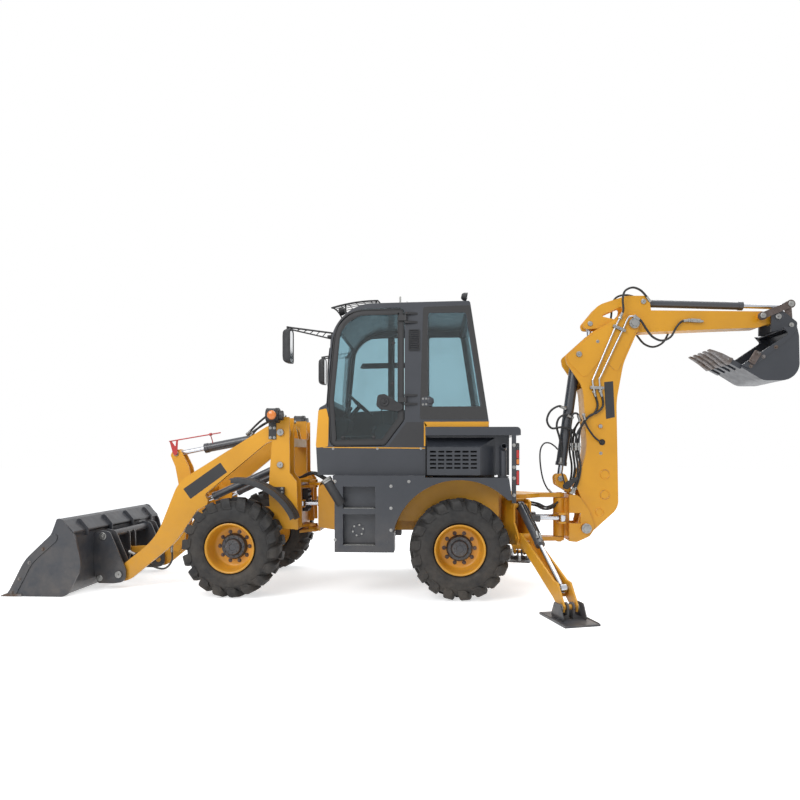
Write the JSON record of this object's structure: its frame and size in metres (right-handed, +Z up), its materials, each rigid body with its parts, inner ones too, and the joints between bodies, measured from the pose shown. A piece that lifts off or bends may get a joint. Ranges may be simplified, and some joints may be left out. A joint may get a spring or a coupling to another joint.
{
  "type": "backhoe loader",
  "caption": "Centre-hinged backhoe loader with cab, front loader bucket on lift arms, rear digging arm and two stabilizers.",
  "frame": {"origin": "on the floor under the middle of the machine, on its centreline", "axes": "+X towards the digging arm at the rear, +Y towards the right side, +Z up"},
  "size_m": [8.9091, 3.9588, 3.4244],
  "materials": {
    "black": "satin black",
    "chrome": "polished rod",
    "glass": "tinted",
    "grey": "satin dark grey paint",
    "iron": "raw",
    "seat": "vinyl",
    "tyre": "rubber",
    "yellow": "glossy machine paint"
  },
  "bodies": {
    "rear_body": {"rear_frame": "yellow", "rear_axle": "black", "engine_block": "iron", "hood": "grey", "side_boxes": "grey", "cab_shell": "grey", "cab_glass": "glass", "cab_fittings": "black", "seat": "seat", "backhoe_frame": "yellow"},
    "front_body": {"front_frame": "yellow", "front_axle": "black", "front_fenders": "black"},
    "door": {"door": "grey", "door_glass": "glass"},
    "wheel_front_left": {"tyre_front_left": "tyre", "rim_front_left": "yellow"},
    "wheel_front_right": {"tyre_front_right": "tyre", "rim_front_right": "yellow"},
    "wheel_rear_left": {"tyre_rear_left": "tyre", "rim_rear_left": "yellow"},
    "wheel_rear_right": {"tyre_rear_right": "tyre", "rim_rear_right": "yellow"},
    "loader_boom": {"loader_boom": "yellow"},
    "lift_barrel": {"lift_barrels": "black"},
    "lift_rod": {"lift_rods": "chrome"},
    "loader_bucket": {"quick_hitch": "grey", "loader_bucket": "grey"},
    "rocker": {"rocker": "yellow"},
    "tilt_link": {"tilt_link": "yellow"},
    "tilt_barrel": {"tilt_barrel": "black"},
    "tilt_rod": {"tilt_rod": "chrome"},
    "steer_barrel_left": {"steer_barrel_left": "black"},
    "steer_rod_left": {"steer_rod_left": "chrome"},
    "steer_barrel_right": {"steer_barrel_right": "black"},
    "steer_rod_right": {"steer_rod_right": "chrome"},
    "swing_post": {"swing_post": "yellow"},
    "swing_barrel_left": {"swing_barrel_left": "black"},
    "swing_rod_left": {"swing_rod_left": "chrome"},
    "swing_barrel_right": {"swing_barrel_right": "black"},
    "swing_rod_right": {"swing_rod_right": "chrome"},
    "backhoe_boom": {"backhoe_boom": "yellow"},
    "boom_barrel": {"boom_barrel": "black"},
    "boom_rod": {"boom_rod": "chrome"},
    "dipper": {"dipper": "yellow"},
    "dipper_barrel": {"dipper_barrel": "black"},
    "dipper_rod": {"dipper_rod": "chrome"},
    "digging_bucket": {"digging_bucket": "grey"},
    "guide_link": {"guide_link": "grey"},
    "bucket_link": {"bucket_link": "grey"},
    "bucket_barrel": {"bucket_barrel": "black"},
    "bucket_rod": {"bucket_rod": "chrome"},
    "stabilizer_leg_left": {"stabilizer_leg_left": "yellow"},
    "stabilizer_pad_left": {"stabilizer_pad_left": "grey"},
    "stabilizer_barrel_left": {"stabilizer_barrel_left": "black"},
    "stabilizer_rod_left": {"stabilizer_rod_left": "chrome"},
    "stabilizer_leg_right": {"stabilizer_leg_right": "yellow"},
    "stabilizer_pad_right": {"stabilizer_pad_right": "grey"},
    "stabilizer_barrel_right": {"stabilizer_barrel_right": "black"},
    "stabilizer_rod_right": {"stabilizer_rod_right": "chrome"}
  },
  "joints": [
    {"name": "steering", "type": "hinge", "parent": "rear_body", "child": "front_body", "pos_m": [-1.196, 0, 0.925], "axis": [0, 0, 1], "range_deg": [-30, 30]},
    {"name": "door_hinge", "type": "hinge", "parent": "rear_body", "child": "door", "pos_m": [-0.022, -0.75, 2.15], "axis": [0, 0, 1], "range_deg": [0, 100]},
    {"name": "roll_front_left", "type": "hinge", "parent": "front_body", "child": "wheel_front_left", "pos_m": [-1.905, -0.83, 0.5375], "axis": [0, 1, 0], "continuous": true},
    {"name": "roll_front_right", "type": "hinge", "parent": "front_body", "child": "wheel_front_right", "pos_m": [-1.905, 0.83, 0.5375], "axis": [0, 1, 0], "continuous": true},
    {"name": "roll_rear_left", "type": "hinge", "parent": "rear_body", "child": "wheel_rear_left", "pos_m": [0.565, -0.83, 0.5375], "axis": [0, 1, 0], "continuous": true},
    {"name": "roll_rear_right", "type": "hinge", "parent": "rear_body", "child": "wheel_rear_right", "pos_m": [0.565, 0.83, 0.5375], "axis": [0, 1, 0], "continuous": true},
    {"name": "loader_lift", "type": "hinge", "parent": "front_body", "child": "loader_boom", "pos_m": [-1.45, 0, 1.8], "axis": [0, 1, 0], "range_deg": [0, 84]},
    {"name": "lift_barrel_pivot", "type": "hinge", "parent": "front_body", "child": "lift_barrel", "pos_m": [-1.452, 0, 1.431], "axis": [0, -1, 0], "range_deg": [-81.01, 0.5]},
    {"name": "lift_rod_slide", "type": "slide", "parent": "lift_barrel", "child": "lift_rod", "axis": [-0.9109, 0, -0.4127], "range_m": [-0.002, 0.50353]},
    {"name": "loader_tilt", "type": "hinge", "parent": "loader_boom", "child": "loader_bucket", "pos_m": [-3.34, 0, 0.165], "axis": [0, -1, 0], "range_deg": [-42, 129]},
    {"name": "rocker_pivot", "type": "hinge", "parent": "loader_boom", "child": "rocker", "pos_m": [-2.755, 0, 1.095], "axis": [0, -1, 0], "range_deg": [-20.5, 7.01]},
    {"name": "tilt_link_pivot", "type": "hinge", "parent": "loader_bucket", "child": "tilt_link", "pos_m": [-3.53, 0, 0.36], "axis": [0, -1, 0], "range_deg": [-79.83, 26.33]},
    {"name": "tilt_barrel_pivot", "type": "hinge", "parent": "front_body", "child": "tilt_barrel", "pos_m": [-1.44, 0, 1.835], "axis": [0, 1, 0], "range_deg": [-0.5, 84.5]},
    {"name": "tilt_rod_slide", "type": "slide", "parent": "tilt_barrel", "child": "tilt_rod", "axis": [-0.9824, 0, -0.187], "range_m": [-0.16886, 0.05633]},
    {"name": "steer_barrel_left_pivot", "type": "hinge", "parent": "rear_body", "child": "steer_barrel_left", "pos_m": [-0.7, -0.135, 0.96], "axis": [0, 0, 1], "range_deg": [-5.51, 5.51]},
    {"name": "steer_rod_left_slide", "type": "slide", "parent": "steer_barrel_left", "child": "steer_rod_left", "axis": [-0.9977, -0.0676, 0], "range_m": [-0.0878, 0.0878]},
    {"name": "steer_barrel_right_pivot", "type": "hinge", "parent": "rear_body", "child": "steer_barrel_right", "pos_m": [-0.7, 0.135, 0.96], "axis": [0, 0, 1], "range_deg": [-5.51, 5.51]},
    {"name": "steer_rod_right_slide", "type": "slide", "parent": "steer_barrel_right", "child": "steer_rod_right", "axis": [-0.9977, 0.0676, 0], "range_m": [-0.0878, 0.0878]},
    {"name": "backhoe_swing", "type": "hinge", "parent": "rear_body", "child": "swing_post", "pos_m": [1.79, 0, 0.8], "axis": [0, 0, 1], "range_deg": [-80, 80]},
    {"name": "swing_barrel_left_pivot", "type": "hinge", "parent": "rear_body", "child": "swing_barrel_left", "pos_m": [1.095, -0.17, 0.8], "axis": [0, 0, 1], "range_deg": [-4, 4]},
    {"name": "swing_rod_left_slide", "type": "slide", "parent": "swing_barrel_left", "child": "swing_rod_left", "axis": [1, 0, 0], "range_m": [-0.16942, 0.16942]},
    {"name": "swing_barrel_right_pivot", "type": "hinge", "parent": "rear_body", "child": "swing_barrel_right", "pos_m": [1.095, 0.17, 0.8], "axis": [0, 0, 1], "range_deg": [-4, 4]},
    {"name": "swing_rod_right_slide", "type": "slide", "parent": "swing_barrel_right", "child": "swing_rod_right", "axis": [1, 0, 0], "range_m": [-0.16942, 0.16942]},
    {"name": "backhoe_boom_lower", "type": "hinge", "parent": "swing_post", "child": "backhoe_boom", "pos_m": [2.067, 0, 0.685], "axis": [0, 1, 0], "range_deg": [-3, 72]},
    {"name": "boom_barrel_pivot", "type": "hinge", "parent": "backhoe_boom", "child": "boom_barrel", "pos_m": [1.993, 0, 2.729], "axis": [0, -1, 0], "range_deg": [-10.02, 0.9]},
    {"name": "boom_rod_slide", "type": "slide", "parent": "boom_barrel", "child": "boom_rod", "axis": [-0.1365, 0, -0.9906], "range_m": [-0.03069, 0.69051]},
    {"name": "dipper_crowd", "type": "hinge", "parent": "backhoe_boom", "child": "dipper", "pos_m": [2.629, 0, 3.084], "axis": [0, -1, 0], "range_deg": [-52, 38]},
    {"name": "dipper_barrel_pivot", "type": "hinge", "parent": "backhoe_boom", "child": "dipper_barrel", "pos_m": [2.24, 0, 1.88], "axis": [0, -1, 0], "range_deg": [-4.74, 3.6]},
    {"name": "dipper_rod_slide", "type": "slide", "parent": "dipper_barrel", "child": "dipper_rod", "axis": [-0.0851, 0, 0.9964], "range_m": [-0.30344, 0.4145]},
    {"name": "digging_bucket_open", "type": "hinge", "parent": "dipper", "child": "digging_bucket", "pos_m": [4.263, 0, 3.143], "axis": [0, -1, 0], "range_deg": [0, 165]},
    {"name": "guide_link_pivot", "type": "hinge", "parent": "dipper", "child": "guide_link", "pos_m": [4.078, 0, 3.15], "axis": [0, -1, 0], "range_deg": [-0.5, 74.58]},
    {"name": "bucket_link_pivot", "type": "hinge", "parent": "guide_link", "child": "bucket_link", "pos_m": [4.394, 0, 3.283], "axis": [0, -1, 0], "range_deg": [-51.62, 0.5]},
    {"name": "bucket_barrel_pivot", "type": "hinge", "parent": "dipper", "child": "bucket_barrel", "pos_m": [2.754, 0, 3.351], "axis": [0, -1, 0], "range_deg": [-0.5, 10.4]},
    {"name": "bucket_rod_slide", "type": "slide", "parent": "bucket_barrel", "child": "bucket_rod", "axis": [0.9991, 0, -0.0414], "range_m": [-0.33059, 0.002]},
    {"name": "stabilizer_leg_left_raise", "type": "hinge", "parent": "rear_body", "child": "stabilizer_leg_left", "pos_m": [1.275, -0.72, 0.64], "axis": [-0.9613, -0.2756, 0], "range_deg": [0, 92]},
    {"name": "stabilizer_pad_left_swivel", "type": "hinge", "parent": "stabilizer_leg_left", "child": "stabilizer_pad_left", "pos_m": [1.55064, -1.68126, 0.12], "axis": [-0.9613, -0.2756, 0], "range_deg": [-35, 35]},
    {"name": "stabilizer_barrel_left_pivot", "type": "hinge", "parent": "rear_body", "child": "stabilizer_barrel_left", "pos_m": [1.24468, -0.61426, 0.98], "axis": [-0.9613, -0.2756, 0], "range_deg": [-0.5, 86.78]},
    {"name": "stabilizer_rod_left_slide", "type": "slide", "parent": "stabilizer_barrel_left", "child": "stabilizer_rod_left", "axis": [0.2232, -0.7784, -0.5867], "range_m": [-0.50779, 0.002]},
    {"name": "stabilizer_leg_right_raise", "type": "hinge", "parent": "rear_body", "child": "stabilizer_leg_right", "pos_m": [1.275, 0.72, 0.64], "axis": [0.9613, -0.2756, 0], "range_deg": [0, 92]},
    {"name": "stabilizer_pad_right_swivel", "type": "hinge", "parent": "stabilizer_leg_right", "child": "stabilizer_pad_right", "pos_m": [1.55064, 1.68126, 0.12], "axis": [0.9613, -0.2756, 0], "range_deg": [-35, 35]},
    {"name": "stabilizer_barrel_right_pivot", "type": "hinge", "parent": "rear_body", "child": "stabilizer_barrel_right", "pos_m": [1.24468, 0.61426, 0.98], "axis": [0.9613, -0.2756, 0], "range_deg": [-0.5, 86.78]},
    {"name": "stabilizer_rod_right_slide", "type": "slide", "parent": "stabilizer_barrel_right", "child": "stabilizer_rod_right", "axis": [0.2232, 0.7784, -0.5867], "range_m": [-0.50779, 0.002]}
  ],
  "couplings": [
    {"joint": "lift_barrel_pivot", "follows": "loader_lift", "ratio": -0.95844},
    {"joint": "lift_rod_slide", "follows": "loader_lift", "m_per_rad": 0.34209},
    {"joint": "rocker_pivot", "follows": "loader_tilt", "ratio": -0.155},
    {"joint": "tilt_link_pivot", "follows": "loader_tilt", "ratio": -0.615},
    {"joint": "tilt_barrel_pivot", "follows": "loader_lift", "ratio": 1},
    {"joint": "tilt_rod_slide", "follows": "loader_tilt", "m_per_rad": -0.07411},
    {"joint": "steer_barrel_left_pivot", "follows": "steering", "ratio": 0.16689},
    {"joint": "steer_rod_left_slide", "follows": "steering", "m_per_rad": -0.16386},
    {"joint": "steer_barrel_right_pivot", "follows": "steering", "ratio": 0.16689},
    {"joint": "steer_rod_right_slide", "follows": "steering", "m_per_rad": 0.16386},
    {"joint": "swing_barrel_left_pivot", "follows": "backhoe_swing", "ratio": -0.03},
    {"joint": "swing_rod_left_slide", "follows": "backhoe_swing", "m_per_rad": 0.1199},
    {"joint": "swing_barrel_right_pivot", "follows": "backhoe_swing", "ratio": 0.03},
    {"joint": "swing_rod_right_slide", "follows": "backhoe_swing", "m_per_rad": -0.1199},
    {"joint": "boom_barrel_pivot", "follows": "backhoe_boom_lower", "ratio": -0.1322},
    {"joint": "boom_rod_slide", "follows": "backhoe_boom_lower", "m_per_rad": 0.5479},
    {"joint": "dipper_barrel_pivot", "follows": "dipper_crowd", "ratio": 0.081491},
    {"joint": "dipper_rod_slide", "follows": "dipper_crowd", "m_per_rad": -0.45451},
    {"joint": "guide_link_pivot", "follows": "digging_bucket_open", "ratio": 0.44898},
    {"joint": "bucket_link_pivot", "follows": "digging_bucket_open", "ratio": -0.30981},
    {"joint": "bucket_barrel_pivot", "follows": "digging_bucket_open", "ratio": 0.059975},
    {"joint": "bucket_rod_slide", "follows": "digging_bucket_open", "m_per_rad": -0.1141},
    {"joint": "stabilizer_barrel_left_pivot", "follows": "stabilizer_leg_left_raise", "ratio": 0.93781},
    {"joint": "stabilizer_rod_left_slide", "follows": "stabilizer_leg_left_raise", "m_per_rad": -0.31499},
    {"joint": "stabilizer_barrel_right_pivot", "follows": "stabilizer_leg_right_raise", "ratio": 0.93781},
    {"joint": "stabilizer_rod_right_slide", "follows": "stabilizer_leg_right_raise", "m_per_rad": -0.31499}
  ]
}
